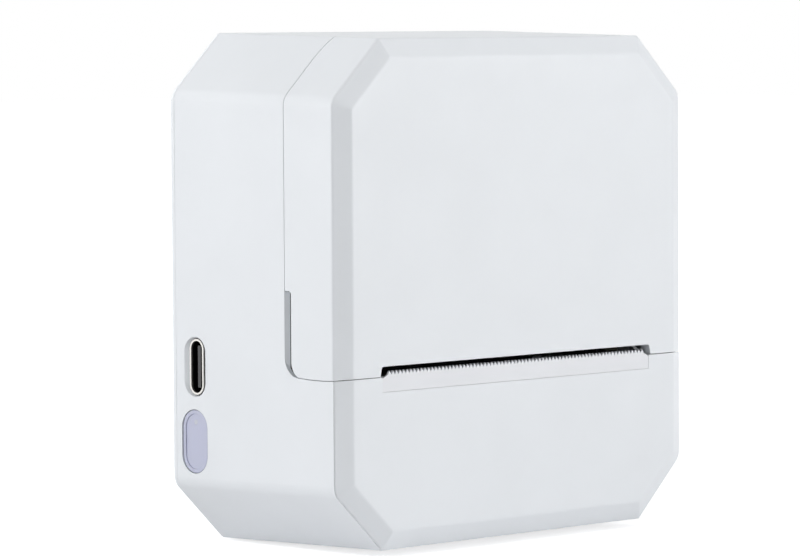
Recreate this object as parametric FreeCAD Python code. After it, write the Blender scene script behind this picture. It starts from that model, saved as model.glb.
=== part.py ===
import FreeCAD, Part
import math
import os
from FreeCAD import Vector

# Desktop label printer: an octagonal case with a lid that swings up from the front.
# Millimetres. X runs to the right, the front faces -Y, Z is up, and the feet stand on Z = 0.
# Most places are given as a depth behind the bevel's outer edge and a height above the
# lower edge of that same octagon, so that they can be read from the front corner.

# Case
WIDTH = 79.0
HEIGHT = 80.0
CHAMFER_X = 10.0
CHAMFER_Z = 9.6
SIDE_DEPTH = 35.9
SPREAD = 0.86
BEVEL_DEPTH = 1.5
BEVEL_INSET = 3.0
BEVEL_SOFT = 1.2
BEVEL_CRISP = 0.5
REAR_DEPTH = 1.7
REAR_ROUND = 1.4
WALL = 2.0
LIP_WALL = 1.2
LIP_FIT = 0.03
SIDE_ROUND = 2.7
CREST_ROUND = 0.5
FOOT_GAP = 0.4
FOOT_RADIUS = 3.0
FOOT_X = 21.0
FOOT_DEPTHS = (16.0, 32.0)
PARTING = 0.04

# Lid, its seam, its finger grooves and its hinge
SEAM_GAP = 0.11
SEAM_HEIGHT = 27.05
SEAM_DEPTH = 10.75
SEAM_CORNER = 3.4
GROOVE_DEPTH = 9.3
GROOVE_TOP = 40.75
GROOVE_CORNER = 2.55
GROOVE_END = 0.5
SCOOP_GAP = 0.3
SCOOP_SINK = 0.06
SCOOP_DROP = 0.15
SCOOP_REACH = 0.45
SCOOP_THICK = 0.74
SCOOP_HOLLOW = 1.6
HINGE_DEPTH = 3.3
HINGE_HEIGHT = 76.5
PIN_RADIUS = 0.9
PIN_CLEARANCE = 0.05
EAR_RADIUS = 2.0
EAR_CLEARANCE = 0.35
EAR_X = (24.5, 26.5)
KNUCKLE_X = (26.8, 29.0)
KNUCKLE_TOP = 78.6
LID_INNER = 0.5

# Paper slot and tear bar
SLOT_HALF = 30.8
SLOT_LEAN = 0.3
SLOT_TOP = 29.0
SLOT_THROUGH = 1.5
BAR_HALF = 30.35
BAR_SHOULDER = (29.95, 27.3)
BAR_LOW = 25.0
BAR_ROOT = 27.65
BAR_FIT = 0.03
BAR_SINK = 0.04
BAR_BACK = -0.5
TOOTH_PITCH = 0.78
TOOTH_HEIGHT = 0.65
TOOTH_COUNT = 75
TOOTH_THICK = 0.35

# Platen and gear train
PLATEN_DEPTH = 5.9
PLATEN_HEIGHT = 33.2
PLATEN_RADIUS = 4.5
PLATEN_HALF = 29.0
SHAFT_RADIUS = 1.5
SHAFT_LEFT = -33.2
BUSHING_RADIUS = 2.6
FLANGE_RADIUS = 3.4
CRADLE_X = (31.0, 32.6)
CRADLE_DEPTHS = (2.0, 3.6)
CRADLE_HEIGHTS = (39.0, 45.0)
CRADLE_SCREW_X = 15.0
CRADLE_SCREW_HEIGHT = 42.0
MODULE = 0.5
PRESSURE = math.radians(20)
ADDENDUM = 0.8 * MODULE
DEDENDUM = 1.1 * MODULE
BACKLASH = 0.06
PLATEN_TEETH = 18
IDLER_TEETH = 24
PINION_TEETH = 12
IDLER_ANGLE = math.radians(-12)
MOTOR_ANGLE = math.radians(-45)
GEAR_X = (33.6, 36.4)
SHAFT_PROUD = 0.6
MOTOR_RADIUS = 7.5
MOTOR_X = (20.2, 30.5)
MOTOR_BOSS = 2.5
MOTOR_SHAFT_RADIUS = 0.75
STUD_RADIUS = 1.25
RUNNING = 0.03

# Print frame and print head
DECK_X = 37.2
DECK_HEIGHTS = (25.2, 26.4)
UPRIGHT_X = (31.0, 32.2)
SPRING_WALL = (17.5, 18.7)
SPRING_THICK = 0.3
HEAD_FACE = 10.7
HEAD_HALF = 28.5
BRACKET_HALF = 29.5
BRACKET_BACK = 13.6
ROD_DEPTH = 13.6
ROD_HEIGHT = 28.8
ROD_RADIUS = 1.0
CABLE_THICK = 0.2
CABLE_X = (-12.0, 4.0)

# Roll bin and guides
ROLL_DEPTH = 17.3
ROLL_HEIGHT = 56.0
BIN_RADIUS = 15.5
BIN_WALL = 1.2
BIN_SWEEP = 165
CHEEK_X = (28.6, 30.0)
SHELF_X = 37.3
SHELF_DEPTHS = (11.3, 32.5)
SHELF_LOW = 38.0
SHELF_TOP = 39.3
ARM_DEPTHS = (1.3, 3.8)
ARM_LOW = 65.5
ARM_TOP = 68.3
GUIDE_X = (26.8, 28.0)
GUIDE_TRAVEL = 14.0
GUIDE_TEETH = 16
GUIDE_GEAR_DEPTH = 24.3
GUIDE_PLATE = 14.5
HUB_RADIUS = 6.0
HUB_BORE = 4.8
HUB_LENGTH = 5.0
FOOT_THICK = 1.8
FOOT_SLACK = 0.3
RACK_HEIGHTS = (35.7, 37.3)
RACK_PAST = 5.0
RACK_TEETH = range(-3, 12)

# Socket, button and board on the left side
SOCKET_DEPTH = 31.45
SOCKET_HEIGHT = 27.75
SOCKET_SINK = 0.3
SOCKET_RIM = (4.9, 9.6)
SOCKET_HOLE = (3.6, 9.2)
SOCKET_DISH = 0.6
SHELL_SIZE = (3.26, 8.94)
MOUTH_SIZE = (2.66, 8.34)
SHELL_LENGTH = 7.35
BUTTON_DEPTH = 31.7
BUTTON_HEIGHT = 15.8
BUTTON_SIZE = (5.78, 10.05)
BUTTON_GAP = 0.11
BUTTON_FACE_SINK = 0.06
BUTTON_RIM = 0.6
BUTTON_DISH = 0.15
BUTTON_BACK = -37.6
LIGHT_RISE = 3.1
LIGHT_RADIUS = 0.4
LIGHT_LENGTH = 1.4
BOARD_FRONT = 33.1
BOARD_BACK = 34.3
BOARD_X = (-36.5, 30.0)
BOARD_HEIGHTS = (12.4, 37.0)
BOARD_SCREWS = ((-29.0, 35.0), (-14.0, 15.0), (27.0, 35.0), (27.0, 15.0))
BOARD_POST = 2.0
BOARD_POST_BORE = 2.1
PLUG_DEPTH = 34.6
CELL_DEPTHS = (3.5, 32.0)
CELL_HEIGHTS = (2.05, 9.8)
CELL_HALF = 25.0
CELL_ROUND = 2.2
LID_SWITCH = ((-36.5, -34.0), (7.2, 10.4), (26.4, 28.6))
SENSOR_HALF = 6.0
SENSOR_DEPTHS = (11.6, 15.0)
SENSOR_RISE = 1.4

# Screws that hold the case, the print frame and the roll bin
CASE_SCREW_X = 34.2
CASE_SCREW_HEIGHTS = (8.7, 71.3)
CASE_BOSS = 2.6
CASE_BOSS_DEPTHS = (22.0, 34.5)
CASE_SCREW_SINK = 1.4
CASE_SCREW_RADIUS = 1.0
CASE_SCREW_REACH = 26.0
LEDGE_X = 34.2
FRAME_LEDGE = (3.5, 10.0)
FRAME_LEDGE_LOW = 22.0
BIN_LEDGE = (25.0, 32.0)
BIN_LEDGE_LOW = 34.2
INNER_SCREW_X = 35.7
INNER_SCREW_RADIUS = 0.8
FRAME_SCREW_DEPTH = 5.2
FRAME_SCREW_BORE = (22.5, 26.0)
BIN_SCREW_DEPTH = 29.0
BIN_SCREW_BORE = (35.0, 39.0)
CRADLE_SCREW_RADIUS = 0.8
BOARD_SCREW_RADIUS = 0.7
CASE_SCREW_SIZE = (1.9, 1.1, CASE_SCREW_RADIUS, 9.5)
INNER_SCREW_SIZE = (1.5, 0.9, INNER_SCREW_RADIUS, 3.6)
CRADLE_SCREW_SIZE = (1.5, 0.8, CRADLE_SCREW_RADIUS, 3.6)
BOARD_SCREW_SIZE = (1.3, 0.8, BOARD_SCREW_RADIUS, 3.2)
CASE_SCREW_HOLE = 2.1

DRAFT = SPREAD / SIDE_DEPTH
FRONT_Y = BEVEL_DEPTH - (BEVEL_DEPTH + SIDE_DEPTH + REAR_DEPTH) / 2
BASE_Z = SPREAD + FOOT_GAP
OFFSET_SHARE = 2 - math.sqrt(2)
SIDES = (-1, 1)


def at(x, depth, height):
    """Point in the part's frame."""
    return Vector(x, FRONT_Y + depth, BASE_Z + height)


def span(x0, x1):
    """Lower and upper end of a stretch along X, in order."""
    return min(x0, x1), max(x0, x1)


def box(xs, depths, heights):
    """Block between two x values, two depths and two heights."""
    x0, x1 = span(*xs)
    size = (x1 - x0, depths[1] - depths[0], heights[1] - heights[0])
    return Part.makeBox(*size, at(x0, depths[0], heights[0]))


def rod_x(depth, height, radius, xs):
    """Cylinder along X."""
    x0, x1 = span(*xs)
    return Part.makeCylinder(radius, x1 - x0, at(x0, depth, height), Vector(1, 0, 0))


def rod_y(x, height, radius, depths):
    """Cylinder along the depth."""
    return Part.makeCylinder(radius, depths[1] - depths[0], at(x, depths[0], height), Vector(0, 1, 0))


def rod_z(x, depth, radius, heights):
    """Upright cylinder."""
    return Part.makeCylinder(radius, heights[1] - heights[0], at(x, depth, heights[0]), Vector(0, 0, 1))


def rounded_wire(points, radii, place):
    """Closed outline through flat points, each corner rounded by its own radius."""
    entries = []
    count = len(points)
    for i in range(count):
        corner = Vector(*points[i], 0)
        before = (Vector(*points[i - 1], 0) - corner).normalize()
        after = (Vector(*points[(i + 1) % count], 0) - corner).normalize()
        half = before.getAngle(after) / 2
        inward = (before + after).normalize()
        start = corner + before * (radii[i] / math.tan(half))
        end = corner + after * (radii[i] / math.tan(half))
        middle = corner + inward * (radii[i] / math.sin(half) - radii[i])
        entries.append([place(p.x, p.y) for p in (start, middle, end)])
    edges = []
    for i in range(count):
        start, middle, end = entries[i]
        if radii[i] > 0:
            edges.append(Part.Arc(start, middle, end).toShape())
        edges.append(Part.makeLine(end, entries[(i + 1) % count][0]))
    return Part.Wire(edges)


def side_prism(points, xs, radii=None):
    """Outline of (depth, height) points carried along X."""
    x0, x1 = span(*xs)
    wire = rounded_wire(points, radii or [0] * len(points), lambda d, h: at(x0, d, h))
    return Part.Face(wire).extrude(Vector(x1 - x0, 0, 0))


def front_prism(points, depths, radii=None):
    """Outline of (x, height) points carried along the depth."""
    wire = rounded_wire(points, radii or [0] * len(points), lambda x, h: at(x, depths[0], h))
    return Part.Face(wire).extrude(Vector(0, depths[1] - depths[0], 0))


def plan_prism(points, heights):
    """Outline of (x, depth) points carried upwards."""
    wire = rounded_wire(points, [0] * len(points), lambda x, d: at(x, d, heights[0]))
    return Part.Face(wire).extrude(Vector(0, 0, heights[1] - heights[0]))


def pill_wire(depth, height, size, x):
    """Outline of an upright pill; size is its width in depth and its full height."""
    wide, tall = size[0] / 2, size[1] / 2
    corners = [(depth - wide, height - tall), (depth + wide, height - tall),
               (depth + wide, height + tall), (depth - wide, height + tall)]
    return rounded_wire(corners, [wide - 0.001] * 4, lambda d, h: at(x, d, h))


def pill(depth, height, size, xs):
    """Upright pill carried along X."""
    x0, x1 = span(*xs)
    return Part.Face(pill_wire(depth, height, size, x0)).extrude(Vector(x1 - x0, 0, 0))


def wall_x(depth):
    """Distance of the drafted side wall from the middle at a depth."""
    return WIDTH / 2 + DRAFT * depth


def octagon(depth, inset):
    """Case outline at one depth, drawn in by inset, or out where inset is negative."""
    half = WIDTH / 2 - inset
    low = inset
    high = HEIGHT - inset
    trim = OFFSET_SHARE * max(inset, 0)
    cut_x = CHAMFER_X - trim
    cut_z = CHAMFER_Z - trim
    right = [(half - cut_x, low), (half, low + cut_z), (half, high - cut_z), (half - cut_x, high)]
    left = [(-x, h) for x, h in reversed(right)]
    side = SIDE_ROUND - 0.75 * max(inset, 0)
    radii = [CREST_ROUND, side, side, CREST_ROUND] * 2
    return rounded_wire(right + left, radii, lambda x, h: at(x, depth, h))


def shell_form(sections):
    """Solid through the case outlines at the given (depth, inset) sections."""
    return Part.makeLoft([octagon(*section) for section in sections], True, True)


def inner_form(depth0, depth1, wall):
    """Solid that fills the case inside a wall of the given thickness."""
    return shell_form([(d, wall - DRAFT * d) for d in (depth0, depth1)])


def arc_points(start, corner, end, radius, steps):
    """Points along a round that replaces a corner of a flat profile."""
    outline = rounded_wire([start, corner, end], [0, radius, 0], lambda a, b: Vector(a, b, 0))
    arc = [edge for edge in outline.Edges if edge.Curve.TypeId == "Part::GeomCircle"][0]
    return [(p.x, p.y) for p in arc.discretize(steps)]


def front_sections(depth):
    """Sections from the front face over the bevel to a depth on the drafted sides."""
    face = (-BEVEL_DEPTH, BEVEL_INSET)
    edge = (0.0, 0.0)
    back = (depth, -DRAFT * depth)
    inner = (-BEVEL_DEPTH, 2 * BEVEL_INSET)
    soft = arc_points(inner, face, edge, BEVEL_SOFT, 4)
    crisp = arc_points(face, edge, back, BEVEL_CRISP, 4)
    return soft + crisp + [back]


def fused(first, *others):
    """One clean solid from overlapping pieces."""
    return first.fuse(list(others)).removeSplitter()


def seam_rise(depth, low):
    """Height of the lower seam at a depth: an arc about the hinge whose lowest height is low."""
    reach = HINGE_HEIGHT - low
    return HINGE_HEIGHT - math.sqrt(reach ** 2 - (depth - HINGE_DEPTH) ** 2)


def profile_solid(edges):
    """Closed profile at the far left carried through the whole width."""
    return Part.Face(Part.Wire(edges)).extrude(Vector(2 * WIDTH, 0, 0))


def lid_zone(low, back, corner):
    """Space in front of the lid's seam: upright behind, and round about the hinge below and on top."""
    def place(depth, height):
        return at(-WIDTH, depth, height)
    reach = back - HINGE_DEPTH
    turn = math.radians(45)
    ahead = -10.0
    over = HEIGHT + 10
    heel = back - corner
    middle = (ahead + heel) / 2
    front = place(ahead, seam_rise(ahead, low))
    under = place(middle, seam_rise(middle, low))
    start = place(heel, seam_rise(heel, low))
    bend = place(heel + corner * math.sin(turn), low + corner - corner * math.cos(turn))
    upright = place(back, low + corner)
    shoulder = place(back, HINGE_HEIGHT)
    half_turn = place(HINGE_DEPTH + reach * math.cos(turn / 2), HINGE_HEIGHT + reach * math.sin(turn / 2))
    full_turn = place(HINGE_DEPTH + reach * math.cos(turn), HINGE_HEIGHT + reach * math.sin(turn))
    above = place(HINGE_DEPTH + reach * math.cos(turn), over)
    return profile_solid([Part.Arc(front, under, start).toShape(),
                          Part.Arc(start, bend, upright).toShape(),
                          Part.makeLine(upright, shoulder),
                          Part.Arc(shoulder, half_turn, full_turn).toShape(),
                          Part.makeLine(full_turn, above),
                          Part.makeLine(above, place(ahead, over)),
                          Part.makeLine(place(ahead, over), front)])


def finger_zone(gap, drop):
    """Space behind the lid's edge at the finger grooves, drawn back by gap and lowered by drop."""
    def place(depth, height):
        return at(-WIDTH, depth, height)
    edge = GROOVE_DEPTH + gap
    top = GROOVE_TOP - drop
    heel = GROOVE_DEPTH - GROOVE_CORNER
    rise = SEAM_HEIGHT + SEAM_GAP + GROOVE_CORNER
    radius = GROOVE_CORNER + gap
    knee = radius * math.sqrt(0.5)
    soft = GROOVE_END * (1 - math.sqrt(0.5))
    behind = SEAM_DEPTH + 3
    below = SEAM_HEIGHT - 7
    crown = place(edge + GROOVE_END, top)
    brow = place(edge, top - GROOVE_END)
    bend = place(edge, rise)
    foot = place(heel, rise - radius)
    return profile_solid([Part.makeLine(place(behind, below), place(behind, top)),
                          Part.makeLine(place(behind, top), crown),
                          Part.Arc(crown, place(edge + soft, top - soft), brow).toShape(),
                          Part.makeLine(brow, bend),
                          Part.Arc(bend, place(heel + knee, rise - knee), foot).toShape(),
                          Part.makeLine(foot, place(heel, below)),
                          Part.makeLine(place(heel, below), place(behind, below))])


def finger_scoop(side):
    """Sloping lip of the case wall that fills a finger groove and leaves a gap along the lid's edge."""
    face = wall_x(SEAM_DEPTH) - SCOOP_SINK
    inner = face - SCOOP_THICK
    root = SEAM_DEPTH + 0.5
    points = [(face, SEAM_DEPTH), (inner, SEAM_DEPTH - SCOOP_REACH), (inner, root), (face - 0.3, root)]
    wedge = plan_prism([(side * x, d) for x, d in points], (SEAM_HEIGHT - 2, GROOVE_TOP + 2))
    return wedge.common(finger_zone(SCOOP_GAP, SCOOP_DROP))


def scoop_hollow(side):
    """Space behind a finger groove's lip, where the case wall is thinned."""
    outer = wall_x(SEAM_DEPTH) - SCOOP_SINK - SCOOP_THICK
    inner = outer - 2 * WALL
    depths = (SEAM_DEPTH - 1, SEAM_DEPTH + SCOOP_HOLLOW)
    return box((side * outer, side * inner), depths, (SEAM_HEIGHT + 0.3, GROOVE_TOP))


def gear_points(teeth, phase):
    """Outline of an involute gear about its own centre, with one tooth centred on phase."""
    pitch = MODULE * teeth / 2
    base = pitch * math.cos(PRESSURE)
    root = pitch - DEDENDUM
    tip = pitch + ADDENDUM
    half = math.pi / (2 * teeth) - BACKLASH / (2 * pitch)
    start = max(base, root)
    radii = [start, (start + pitch) / 2, pitch, (pitch + tip) / 2, tip]
    flank = []
    if root < base:
        flank.append((root, half + math.tan(PRESSURE) - PRESSURE))
    for r in radii:
        angle = math.acos(min(1.0, base / r))
        flank.append((r, half + math.tan(PRESSURE) - PRESSURE - math.tan(angle) + angle))
    points = []
    for i in range(teeth):
        centre = phase + 2 * math.pi * i / teeth
        for r, a in flank:
            points.append((r * math.cos(centre - a), r * math.sin(centre - a)))
        for r, a in reversed(flank):
            points.append((r * math.cos(centre + a), r * math.sin(centre + a)))
    return points


def gear_x(teeth, phase, depth, height, xs, bore):
    """Spur gear with a plain bore on an axis along X."""
    points = [(depth + a, height + b) for a, b in gear_points(teeth, phase)]
    blank = side_prism(points, xs)
    return blank.cut(rod_x(depth, height, bore, (xs[0] - 1, xs[1] + 1)))


# Gear centres: the idler sits behind the platen gear, the motor below the idler
platen_pitch = MODULE * PLATEN_TEETH / 2
idler_pitch = MODULE * IDLER_TEETH / 2
pinion_pitch = MODULE * PINION_TEETH / 2
idler_depth = PLATEN_DEPTH + (platen_pitch + idler_pitch) * math.cos(IDLER_ANGLE)
idler_height = PLATEN_HEIGHT + (platen_pitch + idler_pitch) * math.sin(IDLER_ANGLE)
motor_depth = idler_depth + (idler_pitch + pinion_pitch) * math.cos(MOTOR_ANGLE)
motor_height = idler_height + (idler_pitch + pinion_pitch) * math.sin(MOTOR_ANGLE)
idler_phase = IDLER_ANGLE + math.pi + math.pi / IDLER_TEETH
idler_lag = (MOTOR_ANGLE - idler_phase) % (2 * math.pi / IDLER_TEETH)
pinion_phase = MOTOR_ANGLE + math.pi + idler_lag * idler_pitch / pinion_pitch + math.pi / PINION_TEETH


def make_main_housing():
    """Drafted case wall with ledges, screw bosses, finger scoops and two openings on its left side."""
    outer = shell_form([(d, -DRAFT * d) for d in (0.0, SIDE_DEPTH)])
    wall = outer.cut(inner_form(-1.0, SIDE_DEPTH + 1.0, WALL))
    wall = wall.cut(lid_zone(SEAM_HEIGHT, SEAM_DEPTH, SEAM_CORNER))
    extras = []
    for side in SIDES:
        inside = side * (WIDTH / 2 - WALL / 2)
        extras.append(finger_scoop(side))
        extras.append(box((side * LEDGE_X, inside), FRAME_LEDGE, (FRAME_LEDGE_LOW, DECK_HEIGHTS[0])))
        extras.append(box((side * LEDGE_X, inside), BIN_LEDGE, (BIN_LEDGE_LOW, SHELF_LOW)))
        for height in CASE_SCREW_HEIGHTS:
            extras.append(rod_y(side * CASE_SCREW_X, height, CASE_BOSS, CASE_BOSS_DEPTHS))
    body = fused(wall, *extras)
    face = -wall_x(SOCKET_DEPTH)
    slope = [(rim - hole) / SOCKET_DISH for rim, hole in zip(SOCKET_RIM, SOCKET_HOLE)]
    proud = DRAFT * SOCKET_RIM[0] / 2 + 0.03
    wide = [rim + proud * rate for rim, rate in zip(SOCKET_RIM, slope)]
    rims = [pill_wire(SOCKET_DEPTH, SOCKET_HEIGHT, wide, face - proud),
            pill_wire(SOCKET_DEPTH, SOCKET_HEIGHT, SOCKET_HOLE, face + SOCKET_DISH)]
    dish = Part.makeLoft(rims, True, True)
    key_hole = [size + 2 * BUTTON_GAP for size in BUTTON_SIZE]
    through = (-WIDTH / 2 - 5, -WIDTH / 2 + 5)
    cuts = [scoop_hollow(-1),
            scoop_hollow(1),
            dish,
            pill(SOCKET_DEPTH, SOCKET_HEIGHT, SOCKET_HOLE, through),
            pill(BUTTON_DEPTH, BUTTON_HEIGHT, key_hole, through)]
    for side in SIDES:
        x = side * INNER_SCREW_X
        cuts.append(rod_z(x, FRAME_SCREW_DEPTH, INNER_SCREW_RADIUS, FRAME_SCREW_BORE))
        cuts.append(rod_z(x, BIN_SCREW_DEPTH, INNER_SCREW_RADIUS, BIN_SCREW_BORE))
        for height in CASE_SCREW_HEIGHTS:
            cuts.append(rod_y(side * CASE_SCREW_X, height, CASE_SCREW_RADIUS, (CASE_SCREW_REACH, SIDE_DEPTH)))
    return body.cut(cuts)


def make_rear_cover():
    """Back plate with a rounded rim, a plug ring, screw posts and board posts."""
    rim = (SIDE_DEPTH + PARTING, -SPREAD)
    back = SIDE_DEPTH + REAR_DEPTH
    seat = SIDE_DEPTH + 0.5
    bend = arc_points(rim, (back, -SPREAD), (back, 5.0), REAR_ROUND, 5)
    plate = shell_form([rim] + bend)
    inside = inner_form(PLUG_DEPTH - 2, seat, WALL + LIP_FIT)
    plug = inner_form(PLUG_DEPTH, seat, WALL + LIP_FIT)
    plug = plug.cut(inner_form(PLUG_DEPTH - 1, seat - 0.1, WALL + LIP_WALL))
    posts = []
    holes = []
    for side in SIDES:
        for height in CASE_SCREW_HEIGHTS:
            x = side * CASE_SCREW_X
            posts.append(rod_y(x, height, CASE_BOSS, (CASE_BOSS_DEPTHS[1], seat)))
            holes.append(rod_y(x, height, CASE_SCREW_RADIUS + 0.1, (CASE_BOSS_DEPTHS[1] - 0.5, back + 1)))
            holes.append(rod_y(x, height, CASE_SCREW_HOLE, (back - CASE_SCREW_SINK, back + 1)))
    for x, height in BOARD_SCREWS:
        posts.append(rod_y(x, height, BOARD_POST, (BOARD_BACK, seat)))
        holes.append(rod_y(x, height, BOARD_SCREW_RADIUS, (BOARD_BACK - 1, BOARD_BACK + BOARD_POST_BORE)))
    posts = [post.common(inside) for post in posts]
    key_room = box((-45, -35.5), (34.0, SIDE_DEPTH), (BUTTON_HEIGHT - 4.0, BUTTON_HEIGHT + 7.0))
    return fused(plate, plug, *posts).cut(holes + [key_room])


def make_lower_front_panel():
    """Bevelled panel below the seam, with a lip inside the case and a pocket for the tear bar."""
    wide = (-WIDTH, WIDTH)
    below = box(wide, (-5.0, 5.0), (-5.0, SEAM_HEIGHT))
    skin = shell_form(front_sections(3.0)).common(box(wide, (-5.0, -PARTING), (-5.0, SEAM_HEIGHT + 2)))
    skin = skin.cut(lid_zone(SEAM_HEIGHT, SEAM_DEPTH, SEAM_CORNER))
    plate = inner_form(-PARTING - 0.3, 0.7, WALL + LIP_FIT).common(below)
    lip = inner_form(0.5, 3.0, WALL + LIP_FIT).cut(inner_form(0.0, 4.0, WALL + LIP_WALL))
    lip = lip.common(box(wide, (-5.0, 5.0), (-5.0, DECK_HEIGHTS[0] - 0.7)))
    pocket_x = BAR_HALF + BAR_FIT
    pocket = box((-pocket_x, pocket_x), (-3.0, BAR_BACK), (BAR_LOW - BAR_FIT, SEAM_HEIGHT + 5))
    return fused(skin, plate, lip).cut(pocket)


def make_tear_bar():
    """Strip with thin saw teeth along its upper edge and sloping ends."""
    half = TOOTH_COUNT * TOOTH_PITCH / 2
    right = [(BAR_HALF, BAR_LOW), (BAR_HALF, SEAM_HEIGHT), BAR_SHOULDER, (half, BAR_ROOT)]
    points = list(right)
    for i in range(TOOTH_COUNT):
        x = half - i * TOOTH_PITCH
        points.append((x - TOOTH_PITCH / 2, BAR_ROOT + TOOTH_HEIGHT))
        points.append((x - TOOTH_PITCH, BAR_ROOT))
    points += [(-x, h) for x, h in reversed(right[:3])]
    front = -BEVEL_DEPTH + BAR_SINK
    bar = front_prism(points, (front, BAR_BACK))
    hollow = box((-WIDTH, WIDTH), (front + TOOTH_THICK, 1.0), (BAR_ROOT - 0.25, SLOT_TOP))
    return bar.cut(hollow)


def make_lid():
    """Upper front shell with its slot notch, finger grooves, screw posts and hinge knuckles."""
    low = SEAM_HEIGHT + SEAM_GAP
    zone = lid_zone(low, SEAM_DEPTH - SEAM_GAP, SEAM_CORNER - SEAM_GAP)
    solid = shell_form(front_sections(SEAM_DEPTH + 2)).common(zone)
    shell = solid.cut(inner_form(LID_INNER, SEAM_DEPTH + 3, WALL))
    upper = SLOT_HALF - SLOT_LEAN
    right = [(SLOT_HALF, 26.0), (SLOT_HALF, low + 0.3), (upper, SLOT_TOP)]
    notch = right + [(-x, h) for x, h in reversed(right)]
    slot = front_prism(notch, (-5.0, SLOT_THROUGH), [0, 0.15, 0.5, 0.5, 0.15, 0])
    shell = shell.cut([finger_zone(0, 0), slot])
    extras = []
    cuts = []
    for side in SIDES:
        x = side * CRADLE_SCREW_X
        extras.append(rod_y(x, CRADLE_SCREW_HEIGHT, 2.2, (LID_INNER - 0.5, CRADLE_DEPTHS[0])))
        cuts.append(rod_y(x, CRADLE_SCREW_HEIGHT, CRADLE_SCREW_RADIUS, (-0.3, 2.5)))
        xs = (side * KNUCKLE_X[0], side * KNUCKLE_X[1])
        ear_depths = (HINGE_DEPTH - EAR_RADIUS, HINGE_DEPTH + EAR_RADIUS)
        extras.append(rod_x(HINGE_DEPTH, HINGE_HEIGHT, EAR_RADIUS, xs))
        extras.append(box(xs, ear_depths, (HINGE_HEIGHT, KNUCKLE_TOP)))
        bore = (side * (EAR_X[0] - 0.3), side * (KNUCKLE_X[1] + 1))
        cuts.append(rod_x(HINGE_DEPTH, HINGE_HEIGHT, PIN_RADIUS + PIN_CLEARANCE, bore))
        pocket = (side * (EAR_X[0] - 0.3), side * KNUCKLE_X[0])
        cuts.append(rod_x(HINGE_DEPTH, HINGE_HEIGHT, EAR_RADIUS + EAR_CLEARANCE, pocket))
    return fused(shell, *extras).cut(cuts)


def make_roll_bin():
    """Trough for the label roll with end cheeks, a floor shelf and arms that carry the hinge ears."""
    start = at(-CHEEK_X[1], ROLL_DEPTH, ROLL_HEIGHT)
    length = 2 * CHEEK_X[1]
    along = Vector(1, 0, 0)
    trough = Part.makeCylinder(BIN_RADIUS + BIN_WALL, length, start, along, BIN_SWEEP)
    trough = trough.cut(Part.makeCylinder(BIN_RADIUS, length + 2, start - along, along))
    trough.rotate(start, along, 180)
    shelf = box((-SHELF_X, SHELF_X), SHELF_DEPTHS, (SHELF_LOW, SHELF_TOP))
    pieces = [trough]
    near, far = ARM_DEPTHS
    cheek = [(SHELF_DEPTHS[0], SHELF_LOW), (33.5, SHELF_LOW), (33.5, 63.0), (28.5, 71.5), (13.5, 72.5),
             (11.6, ARM_TOP), (near, ARM_TOP), (near, ARM_LOW), (5.0, 64.0), (SHELF_DEPTHS[0], 52.0)]
    rounds = [0, 1, 3, 3, 2, 1, 0.5, 0.5, 2, 4]
    arm = [(near, ARM_LOW), (far, ARM_LOW), (far, HINGE_HEIGHT), (near, HINGE_HEIGHT)]
    bores = []
    for side in SIDES:
        ear = [side * x for x in EAR_X]
        pieces.append(side_prism(cheek, [side * x for x in CHEEK_X], rounds))
        pieces.append(side_prism(arm, ear))
        pieces.append(rod_x(HINGE_DEPTH, HINGE_HEIGHT, EAR_RADIUS, ear))
        pieces.append(box((side * EAR_X[0], side * CHEEK_X[1]), ARM_DEPTHS, (ARM_LOW, ARM_TOP)))
        bores.append(rod_x(HINGE_DEPTH, HINGE_HEIGHT, PIN_RADIUS, (side * 20, side * 32)))
        bores.append(rod_z(side * INNER_SCREW_X, BIN_SCREW_DEPTH, INNER_SCREW_RADIUS, (37.0, 40.0)))
    stud = (RACK_HEIGHTS[0] - 0.4, SHELF_LOW + 0.5)
    pieces.append(rod_z(0, GUIDE_GEAR_DEPTH, STUD_RADIUS, stud))
    inner_end = GUIDE_X[0] - GUIDE_TRAVEL - 0.6
    outer_end = GUIDE_X[1] + 0.4
    through = (SHELF_LOW - 1, SHELF_TOP + 11)
    slots = []
    for side, foot in zip(SIDES, foot_depths()):
        depths = (foot[0] - FOOT_SLACK, foot[1] + FOOT_SLACK)
        slots.append(box((side * outer_end, side * inner_end), depths, through))
    return fused(shelf, *pieces).cut(bores + slots)


def foot_depths():
    """Depths between which the feet of the left and the right guide pass through the shelf."""
    near = GUIDE_GEAR_DEPTH - MODULE * GUIDE_TEETH / 2 - DEDENDUM
    far = GUIDE_GEAR_DEPTH + MODULE * GUIDE_TEETH / 2 + DEDENDUM
    return (near - FOOT_THICK, near), (far, far + FOOT_THICK)


def make_roll_guide(side):
    """Guide plate with a core hub and a foot that reaches through the shelf."""
    foot = foot_depths()[SIDES.index(side)]
    xs = [side * x for x in GUIDE_X]
    plate = rod_x(ROLL_DEPTH, ROLL_HEIGHT, GUIDE_PLATE, xs)
    hub_xs = (side * (GUIDE_X[0] - HUB_LENGTH), side * (GUIDE_X[0] + 0.2))
    hub = rod_x(ROLL_DEPTH, ROLL_HEIGHT, HUB_RADIUS, hub_xs)
    bore_xs = (side * (GUIDE_X[0] - HUB_LENGTH - 1), side * (GUIDE_X[1] + 1))
    bore = rod_x(ROLL_DEPTH, ROLL_HEIGHT, HUB_BORE, bore_xs)
    leg = box(xs, foot, (RACK_HEIGHTS[1], ROLL_HEIGHT - 8.0))
    return fused(plate, hub, leg).cut(bore)


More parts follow.
